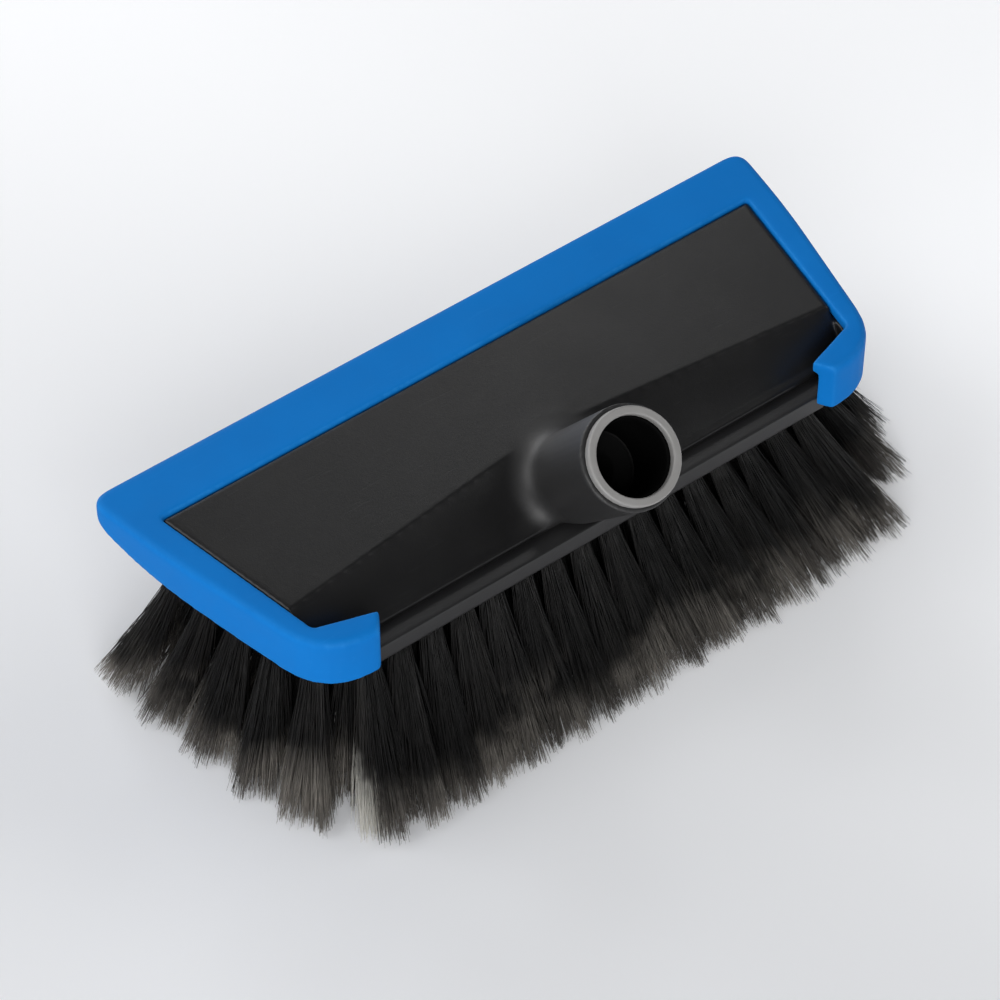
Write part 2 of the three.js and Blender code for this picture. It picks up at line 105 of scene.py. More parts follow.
# Bristle field: the roots on the base, and the tips near the floor
ROOT_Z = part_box("bristle_base")[0].z
TUFT_COLUMNS = 16
TUFT_ROWS = 6
ROOT_BACK_HALF = 113.2 * MM
ROOT_FRONT_HALF = 93.6 * MM
ROOT_BACK_Y = 34.8 * MM
ROOT_FRONT_Y = -24.7 * MM
TIP_HALF = 129 * MM
TIP_BACK_Y = 45 * MM
TIP_FRONT_Y = -51 * MM
FRONT_ROUNDING = 0.45  # 0 is a square corner, 1 is a full ellipse
LEFT_SWEEP = 6.5 * MM  # the front tips reach this much further at the left end
RIGHT_SWEEP = 4 * MM  # and this much at the right end
LEFT_TAPER = 0.065  # share by which the left end draws in at the middle of its depth, and twice that in front
RIGHT_TAPER = 0.02  # share by which the right end draws in all along
RIGHT_CORNER = 0.105  # and how much more of it towards the front
ROOT_CORNER = 2  # power by which the ends draw in towards the front corners
TIP_CORNER = 4
CORNER_LIFT = 2 * MM  # the corner tips end this far above the floor
STRAY = 3.5 * MM  # how far the longest filaments may reach past the CAD model
SEED = 12

# Tufts and filaments
TUFT_ROOT_RADIUS = 2.6 * MM
ROOT_GATHER = 0.8  # share of a tuft's root that its locks spread over
ROOT_SCATTER = 0.45  # share of a tuft's root that the filaments of one lock spread over
TUFT_TIP_RADIUS = 9 * MM
OUTER_FILAMENTS = 420
INNER_FILAMENTS = 250
WISPS = 24  # locks that the filaments of one tuft gather into
WISP_SHIFT = 1.6 * MM
WISP_RADIUS = 2.8 * MM
GOLDEN_TURN = math.pi * (3 - math.sqrt(5))
FILAMENT_RADIUS = 0.19 * MM
TIP_RADIUS = 0.08 * MM
TIP_TAPER = 3  # the higher, the longer a filament keeps its full thickness
FILAMENT_SIDES = 3
FILAMENT_STEPS = 5
FLARE = 1.1  # above 1 the filaments leave the base steeply and spread later
WAVE = 1 * MM
WAVE_PACE = (3, 6)  # radians of the wave over a filament's length
LENGTH_SCATTER = 2 * MM
ROOT_EMBED = 1 * MM
FLAG_START = 0.6  # share of the length where the ends split
FLAG_SPREAD = 2 * MM
FLAG_RADIUS = 0.12 * MM
FLAG_TIP_RADIUS = TIP_RADIUS / 2
TUFT_TONE = 0.35  # how much of a filament's tone is its tuft's, its lock's and its own
LOCK_TONE = 0.35
OWN_TONE = 0.3
CREAM_CORNER = 1  # how much paler the outer locks of the left front corner's tuft are
CREAM_SIDE = np.array([-0.89, 0.45, 0])
CREAM_REACH = 2 * MM  # from the middle of that tuft's end

# Grain of a moulded finish: the coarse one's scale against the fine one's, and the height of both
COARSE_SCALE = 0.35
FINE_HEIGHT = 0.7
COARSE_HEIGHT = 0.3

# Scuffs: the two directions they run in, and how they are drawn out
SCUFF_TURNS = (0.5, -0.9)
SCUFF_STRETCH = (0.06, 1, 1)

# How strongly wear, scuffs and dust show on a moulded finish
EDGE_TINT = 0.6
EDGE_POLISH = 0.08
SCUFF_TINT = 0.35
SCUFF_DEPTH = 0.4
DUST_AMOUNT = 0.35
DUST_TINT = 0.3


# Shader building

MIX_FIRST_COLOUR = 6  # a Mix node's colour sockets share their names with its others
MIX_SECOND_COLOUR = 7
MIX_COLOUR = 2


def put(tree, kind, settings=None, **inputs):
    """Adds a node. An input is a value or another node's socket, and _ in its name stands for a space."""
    node = tree.nodes.new(kind)
    for name, value in (settings or {}).items():
        setattr(node, name, value)
    for name, value in inputs.items():
        feed(tree, node.inputs[name.replace("_", " ")], value)
    return node


def feed(tree, socket, value):
    if isinstance(value, bpy.types.NodeSocket):
        tree.links.new(value, socket)
    else:
        socket.default_value = value


def maths(tree, operation, first, second):
    node = put(tree, "ShaderNodeMath", {"operation": operation})
    feed(tree, node.inputs[0], first)
    feed(tree, node.inputs[1], second)
    return node.outputs[0]


def ranged(tree, value, low, high, to_low=0.0, to_high=1.0):
    node = put(tree, "ShaderNodeMapRange", {"interpolation_type": "SMOOTHSTEP"}, Value=value)
    for name, bound in (("From Min", low), ("From Max", high), ("To Min", to_low), ("To Max", to_high)):
        feed(tree, node.inputs[name], bound)
    return node.outputs["Result"]


def tinted(tree, share, first, second):
    """A colour between two others."""
    node = put(tree, "ShaderNodeMix", {"data_type": "RGBA"})
    feed(tree, node.inputs["Factor"], share)
    feed(tree, node.inputs[MIX_FIRST_COLOUR], first)
    feed(tree, node.inputs[MIX_SECOND_COLOUR], second)
    return node.outputs[MIX_COLOUR]


def noise(tree, place, scale, detail=2.0, roughness=0.55):
    node = put(tree, "ShaderNodeTexNoise", Vector=place, Scale=scale, Detail=detail, Roughness=roughness)
    return node.outputs[0]


def new_group(name, inputs, outputs):
    tree = bpy.data.node_groups.new(name, "ShaderNodeTree")
    for label, value in inputs.items():
        tree.interface.new_socket(label, in_out="INPUT", socket_type="NodeSocketFloat").default_value = value
    for label in outputs:
        tree.interface.new_socket(label, in_out="OUTPUT", socket_type="NodeSocketFloat")
    return tree, tree.nodes.new("NodeGroupInput"), tree.nodes.new("NodeGroupOutput")


def surface_place(tree):
    return put(tree, "ShaderNodeTexCoord").outputs["Object"]


def moulded_grain_group():
    """The fine spark-eroded texture of a moulding, and slow patches in its sheen."""
    tree, given, out = new_group(
        "moulded_grain", {"Grain Size": 0.4 * MM, "Patch Size": 25 * MM}, ["Height", "Patches"]
    )
    place = surface_place(tree)
    fine = noise(tree, place, maths(tree, "DIVIDE", 1.0, given.outputs["Grain Size"]), 3.0, 0.6)
    coarse = noise(tree, place, maths(tree, "DIVIDE", COARSE_SCALE, given.outputs["Grain Size"]), 1.0)
    raised = maths(tree, "MULTIPLY", fine, FINE_HEIGHT)
    height = maths(tree, "ADD", raised, maths(tree, "MULTIPLY", coarse, COARSE_HEIGHT))
    patches = noise(tree, place, maths(tree, "DIVIDE", 1.0, given.outputs["Patch Size"]), 3.0)
    feed(tree, out.inputs["Height"], height)
    feed(tree, out.inputs["Patches"], ranged(tree, patches, 0.3, 0.7))
    return tree


def rubbed_edges_group():
    """Where rounded-over edges have been rubbed, broken up along their length."""
    tree, given, out = new_group("rubbed_edges", {"Breakup Size": 3 * MM, "Amount": 1.0}, ["Mask"])
    edge = put(tree, "ShaderNodeAttribute", {"attribute_name": "edge"}).outputs["Fac"]
    scale = maths(tree, "DIVIDE", 1.0, given.outputs["Breakup Size"])
    breakup = ranged(tree, noise(tree, surface_place(tree), scale, 4.0, 0.65), 0.35, 0.65, 0.25, 1.0)
    mask = maths(tree, "MULTIPLY", ranged(tree, edge, 0.15, 0.8), breakup)
    feed(tree, out.inputs["Mask"], maths(tree, "MULTIPLY", mask, given.outputs["Amount"]))
    return tree


def hairlines_group():
    """Short fine scuffs from handling, in two directions."""
    tree, given, out = new_group("hairlines", {"Spacing": 1.2 * MM, "Amount": 1.0}, ["Mask"])
    place = surface_place(tree)
    scale = maths(tree, "DIVIDE", 1.0, given.outputs["Spacing"])
    masks = []
    for turn in SCUFF_TURNS:
        turned = put(tree, "ShaderNodeMapping", Vector=place, Rotation=(0, 0, turn), Scale=SCUFF_STRETCH)
        masks.append(ranged(tree, noise(tree, turned.outputs[0], scale, 2.0), 0.66, 0.74))
    either = maths(tree, "MAXIMUM", *masks)
    feed(tree, out.inputs["Mask"], maths(tree, "MULTIPLY", either, given.outputs["Amount"]))
    return tree


def settled_dust_group():
    """A thin uneven film on what faces up."""
    tree, given, out = new_group("settled_dust", {"Patch Size": 14 * MM, "Amount": 1.0}, ["Mask"])
    normal = put(tree, "ShaderNodeNewGeometry").outputs["Normal"]
    up = ranged(tree, put(tree, "ShaderNodeSeparateXYZ", Vector=normal).outputs["Z"], 0.5, 0.95)
    scale = maths(tree, "DIVIDE", 1.0, given.outputs["Patch Size"])
    patches = ranged(tree, noise(tree, surface_place(tree), scale, 6.0, 0.7), 0.35, 0.75)
    film = maths(tree, "MULTIPLY", up, patches)
    feed(tree, out.inputs["Mask"], maths(tree, "MULTIPLY", film, given.outputs["Amount"]))
    return tree


def socket_zones_group():
    """Round the pole socket's axis: the inside of the bore, where shade is painted, and the boss outside it,
    where light is painted.
    """
    tree, given, out = new_group(
        "socket_zones",
        {"Bore Radius": BORE_RADIUS, "Boss Radius": BOSS_PAINTED_LIGHT_RADIUS, "Fade Radius": BOSS_PAINTED_LIGHT_FADE},
        ["Bore", "Boss"],
    )
    place = put(tree, "ShaderNodeVectorMath", {"operation": "SUBTRACT"})
    feed(tree, place.inputs[0], surface_place(tree))
    feed(tree, place.inputs[1], SOCKET_MOUTH)
    across = put(tree, "ShaderNodeVectorMath", {"operation": "CROSS_PRODUCT"})
    feed(tree, across.inputs[0], place.outputs["Vector"])
    feed(tree, across.inputs[1], SOCKET_AXIS)
    off_axis = put(tree, "ShaderNodeVectorMath", {"operation": "LENGTH"})
    feed(tree, off_axis.inputs[0], across.outputs["Vector"])
    distance = off_axis.outputs["Value"]
    feed(tree, out.inputs["Bore"], maths(tree, "LESS_THAN", distance, given.outputs["Bore Radius"]))
    boss = ranged(tree, distance, given.outputs["Boss Radius"], given.outputs["Fade Radius"], 1.0, 0.0)
    feed(tree, out.inputs["Boss"], boss)
    return tree


moulded_grain = moulded_grain_group()
rubbed_edges = rubbed_edges_group()
hairlines = hairlines_group()
settled_dust = settled_dust_group()
socket_zones = socket_zones_group()


def effect(tree, group, **values):
    return put(tree, "ShaderNodeGroup", {"node_tree": group}, **values).outputs


def new_material(name, **shader_values):
    material = bpy.data.materials.new(name)
    material.use_nodes = True
    tree = material.node_tree
    shader = tree.nodes["Principled BSDF"]
    for label, value in shader_values.items():
        shader.inputs[label.replace("_", " ")].default_value = value
    return material, tree, shader


def bump(tree, shader, height, depth):
    node = put(tree, "ShaderNodeBump", Height=height, Distance=depth, Strength=1.0)
    feed(tree, shader.inputs["Normal"], node.outputs["Normal"])


def moulded(
    name, deep, light, worn, dusty, roughness, grain_size, grain_depth,
    scuffs=0.5, socket=False, **shader_values,
):
    """A moulded finish: two close tones in slow patches, rubbed edges, scuffs, a little dust and a grain.

    With socket, the bore of the pole socket gets painted shade and its boss painted light, in tones of their
    own.
    """
    material, tree, shader = new_material(name, **shader_values)
    grain = effect(tree, moulded_grain, Grain_Size=grain_size)
    edges = effect(tree, rubbed_edges)["Mask"]
    scratches = effect(tree, hairlines, Amount=scuffs)["Mask"]
    dust = effect(tree, settled_dust, Amount=DUST_AMOUNT)["Mask"]
    colour = tinted(tree, grain["Patches"], deep, light)
    colour = tinted(tree, maths(tree, "MULTIPLY", edges, EDGE_TINT), colour, worn)
    colour = tinted(tree, maths(tree, "MULTIPLY", scratches, SCUFF_TINT), colour, worn)
    colour = tinted(tree, maths(tree, "MULTIPLY", dust, DUST_TINT), colour, dusty)
    low, high = roughness
    gloss = ranged(tree, grain["Patches"], 0.0, 1.0, low, high)
    gloss = maths(tree, "SUBTRACT", gloss, maths(tree, "MULTIPLY", edges, EDGE_POLISH))
    if socket:
        zone = effect(tree, socket_zones)
        # Painted light: the boss round the socket is made a lighter grey.
        colour = tinted(tree, zone["Boss"], colour, BOSS_PAINTED_LIGHT_COLOUR)
        # Painted shade: the inside of the bore is made near-black.
        colour = tinted(tree, zone["Bore"], colour, BORE_PAINTED_SHADE_COLOUR)
        gloss = ranged(tree, zone["Boss"], 0.0, 1.0, gloss, BOSS_ROUGHNESS)
        gloss = ranged(tree, zone["Bore"], 0.0, 1.0, gloss, BORE_ROUGHNESS)
    feed(tree, shader.inputs["Base Color"], colour)
    feed(tree, shader.inputs["Roughness"], gloss)
    relief = maths(tree, "SUBTRACT", grain["Height"], maths(tree, "MULTIPLY", scratches, SCUFF_DEPTH))
    bump(tree, shader, relief, grain_depth)
    return material


def dark_plastic():
    return moulded(
        "dark_plastic",
        deep=(0.0062, 0.0061, 0.0063, 1),
        light=(0.0078, 0.0076, 0.0078, 1),
        worn=(0.026, 0.026, 0.027, 1),
        dusty=(0.03, 0.029, 0.028, 1),
        roughness=(0.325, 0.35),
        grain_size=0.45 * MM,
        grain_depth=0.04 * MM,
        socket=True,
        Specular_IOR_Level=0.5,
    )


def base_plastic_painted_light():
    """The lower shell: the cover's dark plastic made a shade lighter, so that its ledge and front carry
    painted light.
    """
    return moulded(
        "base_plastic_painted_light",
        deep=(0.017, 0.0168, 0.0175, 1),
        light=(0.02, 0.0198, 0.0205, 1),
        worn=(0.035, 0.035, 0.036, 1),
        dusty=(0.035, 0.034, 0.033, 1),
        roughness=(0.34, 0.4),
        grain_size=0.45 * MM,
        grain_depth=0.04 * MM,
        Specular_IOR_Level=0.5,
    )


def blue_rubber():
    return moulded(
        "blue_rubber",
        deep=(0.0025, 0.178, 0.58, 1),
        light=(0.0035, 0.19, 0.61, 1),
        worn=(0.02, 0.26, 0.72, 1),
        dusty=(0.015, 0.19, 0.56, 1),
        roughness=(0.58, 0.68),
        grain_size=0.35 * MM,
        grain_depth=0.03 * MM,
        scuffs=0.3,
        Specular_IOR_Level=0.1,
    )


def pale_plastic():
    return moulded(
        "pale_plastic",
        deep=(0.27, 0.265, 0.258, 1),
        light=(0.31, 0.303, 0.296, 1),
        worn=(0.42, 0.415, 0.41, 1),
        dusty=(0.3, 0.29, 0.27, 1),
        roughness=(0.32, 0.44),
        grain_size=0.3 * MM,
        grain_depth=0.02 * MM,
        Specular_IOR_Level=0.5,
    )


def black_seal():
    return moulded(
        "black_seal",
        deep=(0.008, 0.008, 0.008, 1),
        light=(0.013, 0.013, 0.013, 1),
        worn=(0.03, 0.03, 0.03, 1),
        dusty=(0.04, 0.04, 0.04, 1),
        roughness=(0.6, 0.75),
        grain_size=0.3 * MM,
        grain_depth=0.02 * MM,
        Specular_IOR_Level=0.3,
    )


# Painted shade: the sleeve inside the socket is made near-black, as the bore lies in shade.
def bore_painted_shade():
    return moulded(
        "bore_painted_shade",
        deep=(0.0012, 0.0012, 0.0012, 1),
        light=(0.002, 0.002, 0.002, 1),
        worn=(0.004, 0.004, 0.004, 1),
        dusty=(0.003, 0.003, 0.003, 1),
        roughness=(0.75, 0.9),
        grain_size=0.3 * MM,
        grain_depth=0.02 * MM,
        Specular_IOR_Level=0.06,
    )


def steel():
    material, tree, shader = new_material("bright_steel", Metallic=1.0)
    grain = effect(tree, moulded_grain, Grain_Size=0.25 * MM, Patch_Size=4 * MM)
    lines = effect(tree, hairlines, Spacing=0.3 * MM)["Mask"]
    colour = tinted(tree, grain["Patches"], (0.42, 0.43, 0.44, 1), (0.56, 0.57, 0.58, 1))
    feed(tree, shader.inputs["Base Color"], colour)
    feed(tree, shader.inputs["Roughness"], ranged(tree, lines, 0.0, 1.0, 0.28, 0.42))
    bump(tree, shader, grain["Height"], 0.01 * MM)
    return material


def bristle_fibre():
    """Black filaments with a few brown ones, whose split ends turn taupe and cream."""
    material, tree, shader = new_material("bristle_fibre", Specular_IOR_Level=0.25)
    along = put(tree, "ShaderNodeAttribute", {"attribute_name": "along"}).outputs["Fac"]
    tone = put(tree, "ShaderNodeAttribute", {"attribute_name": "tone"}).outputs["Fac"]
    streaks = effect(tree, moulded_grain, Grain_Size=0.8 * MM, Patch_Size=26 * MM)
    body = tinted(tree, ranged(tree, tone, 0.35, 0.9), (0.0035, 0.0033, 0.0034, 1), (0.014, 0.0128, 0.012, 1))
    tip = tinted(tree, ranged(tree, tone, 0.15, 0.85), (0.11, 0.1, 0.09, 1), (0.38, 0.35, 0.31, 1))
    cream = ranged(tree, tone, 0.95, 1.3)
    tip = tinted(tree, cream, tip, (0.85, 0.83, 0.76, 1))
    start = ranged(tree, streaks["Patches"], 0.0, 1.0, 0.72, 0.5)
    paleness = maths(tree, "MAXIMUM", ranged(tree, streaks["Patches"], 0.0, 1.0, 0.5, 1.0), cream)
    faded = maths(tree, "MULTIPLY", ranged(tree, along, start, 1.0), paleness)
    feed(tree, shader.inputs["Base Color"], tinted(tree, faded, body, tip))
    feed(tree, shader.inputs["Roughness"], ranged(tree, along, 0.0, 1.0, 0.42, 0.7))
    bump(tree, shader, streaks["Height"], 0.02 * MM)
    return material


# Pieces


def link(obj):
    bpy.context.scene.collection.objects.link(obj)
    return obj


def seat(piece, slot, material, *nodes):
    """Puts a finished piece on the brush, in place of its CAD nodes."""
    piece.data.materials.clear()
    piece.data.materials.append(material)
    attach(piece, BODY)
    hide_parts(*nodes)


def read(items, field, width, kind=float):
    values = np.empty(len(items) * width, kind)
    items.foreach_get(field, values)
    return values.reshape(-1, width)


def drawn_in(points, start, end, neighbours):
    """The way from each point to the middle of its neighbours."""
    count = len(points)
    way = np.empty_like(points)
    for axis in range(3):
        line = points[:, axis]
        total = np.bincount(start, line[end], count) + np.bincount(end, line[start], count)
        way[:, axis] = total / neighbours - line
    return way


def smoothed(points, start, end, passes):
    """Points drawn towards their neighbours, so that edges round over."""
    neighbours = np.bincount(np.concatenate([start, end]), minlength=len(points))
    soft = points.copy()
    for _ in range(passes):
        soft += drawn_in(soft, start, end, neighbours) * HALF_WAY
    return soft


def settled(points, share, start, end, outward=None):
    """Points drawn by a share of the way to their neighbours' middle, or only outward, until they rest."""
    kept = (share[start] > 0) | (share[end] > 0)
    start, end = start[kept], end[kept]
    neighbours = np.maximum(np.bincount(np.concatenate([start, end]), minlength=len(points)), 1)
    full = points.copy()
    for _ in range(SETTLING_PASSES):
        way = drawn_in(full, start, end, neighbours)
        step = share if outward is None else share * ((way * outward).sum(1) > 0)
        full += way * step[:, None]
    return full


def even_facet(points, normals, start, end):
    """Evens out the facet's slight twist between its upper and lower edges."""
    inside = ((points > FACET_LOW) & (points < FACET_HIGH)).all(1)
    across, forward, up = normals.T
    leaning = (forward < -FACET_LEAN) & (up > FACET_LEAN) & (abs(across) < FACET_LEAN)
    return settled(points, (inside & leaning) * HALF_WAY, start, end)


def boss_fillet(points, normals, start, end):
    """Fills the hollow corner round the boss, and leaves the edges and the bore as they are."""
    from_mouth = points - np.array(SOCKET_MOUTH)
    axis = np.array(SOCKET_AXIS)
    off_axis = np.linalg.norm(from_mouth - np.outer(from_mouth @ axis, axis), axis=1)
    near = 1 - np.linalg.norm(points - np.array(BOSS_FOOT), axis=1) / BOSS_FILLET_REACH
    share = np.clip(near * FILLET_FADE, 0, 1) * HALF_WAY * (off_axis > BORE_RADIUS)
    return settled(points, share, start, end, normals)


def cover_form(points, normals, start, end):
    """The cover's even facet and filleted boss, with one more pass over both."""
    full = boss_fillet(even_facet(points, normals, start, end), normals, start, end)
    return smoothed(full, start, end, 1)


def softened(name, node, voxel, passes, form):
    """A copy of a CAD node, meshed evenly, with its edges rounded over and where these are rubbed."""
    piece = link(bpy.data.objects.new(name, frame["nodes"][node].data.copy()))
    even = piece.modifiers.new("even_mesh", "REMESH")
    even.mode = "VOXEL"
    even.voxel_size = voxel
    mesh = bpy.data.meshes.new_from_object(piece.evaluated_get(bpy.context.evaluated_depsgraph_get()))
    piece.modifiers.clear()
    piece.data = mesh
    sharp = read(mesh.vertices, "co", 3)
    normals = read(mesh.vertices, "normal", 3)
    start, end = read(mesh.edges, "vertices", 2, int).T
    soft = smoothed(sharp, start, end, passes)
    rubbed = ((sharp - soft) * normals).sum(1) / voxel
    if form:
        soft = form(soft, normals, start, end)
    mesh.vertices.foreach_set("co", soft.ravel())
    mesh.attributes.new("edge", "FLOAT", "POINT").data.foreach_set("value", np.clip(rubbed, 0, 1))
    mesh.shade_smooth()
    return piece


WELD = 0.001 * MM
LEVEL = 0.01 * MM  # what lies this close to the top of the backing is its top face


def backing_slice(name, node):
    """The plate that a quarter of the bristles is set in, with its holes for screws and jets."""
    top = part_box(node)[1].z
    plate = bmesh.new()
    plate.from_mesh(frame["nodes"][node].data)
    bmesh.ops.remove_doubles(plate, verts=plate.verts, dist=WELD)
    below = [face for face in plate.faces if min(v.co.z for v in face.verts) < top - LEVEL]
    bmesh.ops.delete(plate, geom=below, context="FACES")
    lower = bmesh.ops.extrude_face_region(plate, geom=plate.faces[:])["geom"]
    for item in lower:
        if isinstance(item, bmesh.types.BMVert):
            item.co.z = ROOT_Z
    bmesh.ops.recalc_face_normals(plate, faces=plate.faces)
    mesh = bpy.data.meshes.new(name)
    plate.to_mesh(mesh)
    plate.free()
    return link(bpy.data.objects.new(name, mesh))


def rounded(u, v, power):
    """Draws the front corners in from a square field, with u along the head and v to the front."""
    rounding = FRONT_ROUNDING if v > 0 else 0
    return u * math.sqrt(1 - rounding * v ** power / 2), v * math.sqrt(1 - rounding * u * u / 2)


def between(share, low, high):
    return low + (high - low) * share


def tuft_root(u, v):
    across, forward = rounded(u, v, ROOT_CORNER)
    share = (forward + 1) / 2
    return np.array([
        across * between(share, ROOT_BACK_HALF, ROOT_FRONT_HALF),
        between(share, ROOT_BACK_Y, ROOT_FRONT_Y),
        ROOT_Z + ROOT_EMBED,
    ])


def tuft_tip(u, v):
    across, forward = rounded(u, v, TIP_CORNER)
    sweep = (LEFT_SWEEP * min(u, 0) - RIGHT_SWEEP * max(u, 0)) * max(v, 0)
    taper = 1 - (LEFT_TAPER * (v + 1) if u < 0 else RIGHT_TAPER + RIGHT_CORNER * max(v, 0))
    lift = CORNER_LIFT * (u * v) ** 2
    forward_y = between((forward + 1) / 2, TIP_BACK_Y, TIP_FRONT_Y) + sweep
    return np.array([across * taper * TIP_HALF, forward_y, lift])


def disc(draw, count, radius):
    """Points spread evenly over a level disc."""
    turn = draw.uniform(0, 2 * math.pi, count)
    reach = radius * np.sqrt(draw.uniform(0, 1, count))
    return np.stack([reach * np.cos(turn), reach * np.sin(turn), np.zeros(count)], 1)


def wisp_places(draw):
    """Locks spread over a tuft's end like the seeds of a sunflower, each a little out of place."""
    seed = np.arange(WISPS)
    turn = seed * GOLDEN_TURN + draw.uniform(0, 2 * math.pi)
    reach = TUFT_TIP_RADIUS * np.sqrt((seed + 0.5) / WISPS)
    level = np.stack([reach * np.cos(turn), reach * np.sin(turn), np.zeros(WISPS)], 1)
    return level + disc(draw, WISPS, WISP_SHIFT)


def tubes(paths, radii):
    """Closed thin tubes along paths[filament, step], with level rings, as points and faces."""
    count, steps, _ = paths.shape
    turn = np.arange(FILAMENT_SIDES) * 2 * math.pi / FILAMENT_SIDES
    ring = np.stack([np.cos(turn), np.sin(turn), np.zeros(FILAMENT_SIDES)], 1)
    points = paths[:, :, None, :] + radii[None, :, None, None] * ring[None, None]
    index = np.arange(count * steps * FILAMENT_SIDES).reshape(count, steps, FILAMENT_SIDES)
    after = np.roll(index, -1, 2)
    walls = np.stack([index[:, :-1], index[:, 1:], after[:, 1:], after[:, :-1]], -1).reshape(-1, 4)
    ends = np.concatenate([index[:, 0], index[:, -1, ::-1]])
    return points.reshape(-1, 3), walls, ends


def tuft_filaments(draw, u, v, count):
    """One tuft: its filaments' paths, from root to tip, and each filament's tone."""
    wisp_tips = wisp_places(draw)
    wisp = draw.integers(0, WISPS, count)
    root_reach = TUFT_ROOT_RADIUS / TUFT_TIP_RADIUS
    gathered = wisp_tips[wisp] * root_reach * ROOT_GATHER
    roots = tuft_root(u, v) + gathered + disc(draw, count, TUFT_ROOT_RADIUS * ROOT_SCATTER)
    tips = tuft_tip(u, v) + wisp_tips[wisp] + disc(draw, count, WISP_RADIUS)
    tips[:, 2] += LENGTH_SCATTER * draw.uniform(0, 1, count) ** 2
    share = np.linspace(0, 1, FILAMENT_STEPS + 1)
    spread = share[None, :, None] ** np.array([FLARE, FLARE, 1.0])
    paths = roots[:, None] + (tips - roots)[:, None] * spread
    swing = draw.uniform(0, 2 * math.pi, (2, count, 1))
    pace = draw.uniform(*WAVE_PACE, (count, 1))
    for axis in range(2):
        paths[:, :, axis] += WAVE * share * np.sin(share * pace + swing[axis])
    tone = TUFT_TONE * draw.uniform() + LOCK_TONE * draw.uniform(0, 1, WISPS)[wisp]
    tone += OWN_TONE * draw.uniform(0, 1, count)
    if u == -1 and v == 1:
        tone += CREAM_CORNER * (wisp_tips[wisp] @ CREAM_SIDE > CREAM_REACH)
    return paths, tone


def flags(draw, paths):
    """Finer hairs that split off near the filaments' ends."""
    first = int(FLAG_START * FILAMENT_STEPS)
    hairs = paths[:, first:].copy()
    drift = disc(draw, len(paths), FLAG_SPREAD)
    hairs += drift[:, None] * np.linspace(0, 1, hairs.shape[1])[None, :, None]
    return hairs


def bristle_quarter(name, side, end, draw):
    """The filaments of a quarter of the field, as one mesh with their run and tone kept on its points."""
    columns = np.linspace(-1, 1, TUFT_COLUMNS)
    rows = np.linspace(-1, 1, TUFT_ROWS)
    outer = 1 - 1e-6
    places = [(u, v) for u in columns for v in rows if u * side > 0 and v * end > 0]
    grown = []
    for u, v in places:
        count = OUTER_FILAMENTS if max(abs(u), abs(v)) > outer else INNER_FILAMENTS
        grown.append(tuft_filaments(draw, u, v, count))
    paths = np.concatenate([g[0] for g in grown])
    tone = np.concatenate([g[1] for g in grown])
    share = np.linspace(0, 1, FILAMENT_STEPS + 1)
    hairs = flags(draw, paths)
    hair_share = share[-hairs.shape[1]:]
    main = tubes(paths, FILAMENT_RADIUS + (TIP_RADIUS - FILAMENT_RADIUS) * share ** TIP_TAPER)
    fine = tubes(hairs, np.linspace(FLAG_RADIUS, FLAG_TIP_RADIUS, len(hair_share)))
    points = np.concatenate([main[0], fine[0]])
    low, high = (np.array(corner) for corner in cad_box)
    points[:, :2] = np.clip(points[:, :2], low[:2] - STRAY, high[:2] + STRAY)
    points[:, 2] = np.maximum(points[:, 2], 0)
    offset = len(main[0])
    faces = [*main[1].tolist(), *main[2].tolist(), *(fine[1] + offset).tolist(), *(fine[2] + offset).tolist()]
    mesh = bpy.data.meshes.new(name)
    mesh.from_pydata(points.tolist(), [], faces)
    runs = [np.repeat(np.tile(s, len(paths)), FILAMENT_SIDES) for s in (share, hair_share)]
    tones = [np.repeat(tone, len(s) * FILAMENT_SIDES) for s in (share, hair_share)]
    for label, values in (("along", runs), ("tone", tones)):
        mesh.attributes.new(label, "FLOAT", "POINT").data.foreach_set("value", np.concatenate(values))
    mesh.shade_smooth()
    return link(bpy.data.objects.new(name, mesh))


plastic = dark_plastic()
lower_plastic_painted_light = base_plastic_painted_light()
rubber = blue_rubber()
pale = pale_plastic()
seal = black_seal()
bore = bore_painted_shade()
bright = steel()
fibre = bristle_fibre()

# Mouldings: the CAD node, slot, finish, voxel size, rounding passes and any further forming
MOULDINGS = {
    "cover_shell": ("top_cover", "dark_plastic", plastic, 0.6 * MM, 3, cover_form),
    "base_shell": ("bristle_base", "dark_plastic", lower_plastic_painted_light, 0.6 * MM, 2, None),
    "bumper_strip": ("bumper", "blue_rubber", rubber, 0.5 * MM, 20, None),
    "mouth_ring": ("socket_ring", "pale_plastic", pale, 0.25 * MM, 8, None),
    "bore_sleeve": ("socket_sleeve", "dark_plastic", bore, 0.5 * MM, 4, None),
}
for name, (node, slot, finish, voxel, passes, form) in MOULDINGS.items():
    seat(softened(name, node, voxel, passes, form), slot, finish, node)

draw = np.random.default_rng(SEED)
for side, side_name in ((-1, "left"), (1, "right")):
    for end, end_name in ((1, "front"), (-1, "rear")):
        node = f"bristles_{end_name}_{side_name}"
        seat(backing_slice(f"backing_{end_name}_{side_name}", node), "bristle", seal, node)
        seat(bristle_quarter(f"filaments_{end_name}_{side_name}", side, end, draw), "bristle", fibre, node)

for name, node in frame["nodes"].items():
    finish = seal
    if name.startswith("screw_"):
        finish = bright
    if name.startswith("water_jet_"):
        finish = pale
    node.data.materials.clear()
    node.data.materials.append(finish)


# Studio

FLOOR_REACH = 6
FLOOR_DROP = 0.2 * MM
FLOOR_GLOW_FRONT = 0.07
FLOOR_GLOW_BACK = 0.31
GLOW_TOWARDS = (0.9, 0.44, 0)
GLOW_START = -0.15
GLOW_END = 0.2

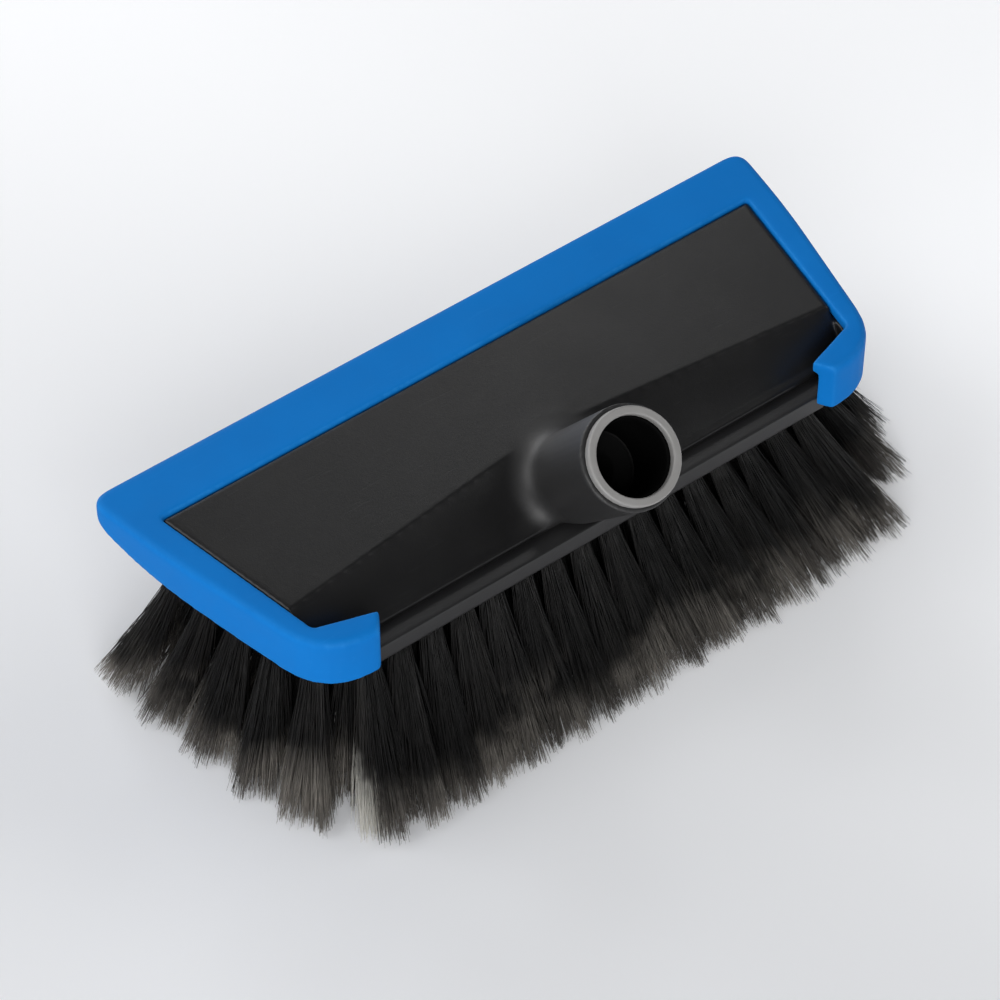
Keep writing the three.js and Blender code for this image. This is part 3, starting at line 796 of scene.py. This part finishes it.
# Softboxes: the direction from the brush, distance, side and radiance
SOFTBOXES = {
    "back_softbox": ((0.45, 0.59, 0.67), 1.9, 0.36, 2.9),
    "low_back_softbox": ((0.1, 0.93, 0.33), 1.8, 1.0, 3.2),
    "top_left_softbox": ((-0.6, 0.5, 0.64), 1.9, 1.6, 2.2),
    "key_softbox": ((-0.55, -0.75, 0.42), 1.8, 1.4, 3.9),
    "right_softbox": ((0.85, -0.2, 0.5), 1.9, 1.2, 2.0),
}
ROOM_COLOUR = (0.9, 0.93, 1, 1)
ROOM_STRENGTH = 0.07


def floor_finish():
    """A pale floor that the camera sees lit like a backdrop, more so towards the back."""
    material, tree, shader = new_material("pale_floor", Roughness=0.9, Specular_IOR_Level=0.1)
    place = surface_place(tree)
    patches = noise(tree, place, 3.0, 2.0)
    colour = tinted(tree, patches, (0.8, 0.81, 0.835, 1), (0.83, 0.84, 0.86, 1))
    feed(tree, shader.inputs["Base Color"], colour)
    away = put(tree, "ShaderNodeVectorMath", {"operation": "DOT_PRODUCT"})
    feed(tree, away.inputs[0], place)
    feed(tree, away.inputs[1], GLOW_TOWARDS)
    glow = ranged(tree, away.outputs["Value"], GLOW_START, GLOW_END, FLOOR_GLOW_FRONT, FLOOR_GLOW_BACK)
    ray = put(tree, "ShaderNodeLightPath").outputs
    seen = maths(tree, "MAXIMUM", ray["Is Camera Ray"], ray["Is Glossy Ray"])
    shader.inputs["Emission Strength"].default_value = 1.0
    shown = maths(tree, "MULTIPLY", glow, seen)
    feed(tree, shader.inputs["Emission Color"], tinted(tree, shown, (0, 0, 0, 1), (1, 1, 1, 1)))
    return material


def floor():
    mesh = bpy.data.meshes.new("floor")
    corners = [(x * FLOOR_REACH, y * FLOOR_REACH, 0) for x, y in ((-1, -1), (1, -1), (1, 1), (-1, 1))]
    mesh.from_pydata(corners, [], [(0, 1, 2, 3)])
    mesh.materials.append(floor_finish())
    obj = link(bpy.data.objects.new("floor", mesh))
    obj.location.z = -FLOOR_DROP


def softbox(name, towards, distance, size, radiance):
    """A square lamp that looks at the brush from a direction, as bright as a surface of that radiance."""
    data = bpy.data.lights.new(name, "AREA")
    data.size = size
    data.energy = radiance * math.pi * size * size
    lamp = link(bpy.data.objects.new(name, data))
    direction = Vector(towards).normalized()
    lamp.location = direction * distance
    lamp.rotation_mode = "QUATERNION"
    lamp.rotation_quaternion = direction.to_track_quat("Z", "Y")


def studio_light():
    for name, settings in SOFTBOXES.items():
        softbox(name, *settings)
    world = bpy.data.worlds.new("studio")
    world.use_nodes = True
    room = world.node_tree.nodes["Background"]
    room.inputs["Color"].default_value = ROOM_COLOUR
    room.inputs["Strength"].default_value = ROOM_STRENGTH
    bpy.context.scene.world = world
    bpy.context.scene.view_settings.view_transform = "Standard"


def camera():
    data = bpy.data.cameras.new("camera")
    data.sensor_width = SENSOR_WIDTH
    data.lens = FOCAL_PIXELS / PHOTO_SIZE * SENSOR_WIDTH
    level = math.cos(CAMERA_ELEVATION)
    back = Vector((
        level * math.sin(CAMERA_AZIMUTH),
        -level * math.cos(CAMERA_AZIMUTH),
        math.sin(CAMERA_ELEVATION),
    ))
    turn = back.to_track_quat("Z", "Y")
    pixel = CAMERA_DISTANCE / FOCAL_PIXELS
    across = (PHOTO_SIZE / 2 - PLATE_BACK_PIXEL[0]) * pixel
    down = (PHOTO_SIZE / 2 - PLATE_BACK_PIXEL[1]) * pixel
    aim = PLATE_BACK + turn @ Vector((across, -down, 0))
    obj = link(bpy.data.objects.new("camera", data))
    obj.location = PLATE_BACK + back * CAMERA_DISTANCE
    obj.rotation_mode = "QUATERNION"
    obj.rotation_quaternion = (obj.location - aim).to_track_quat("Z", "Y")
    bpy.context.scene.camera = obj


floor()
studio_light()
camera()
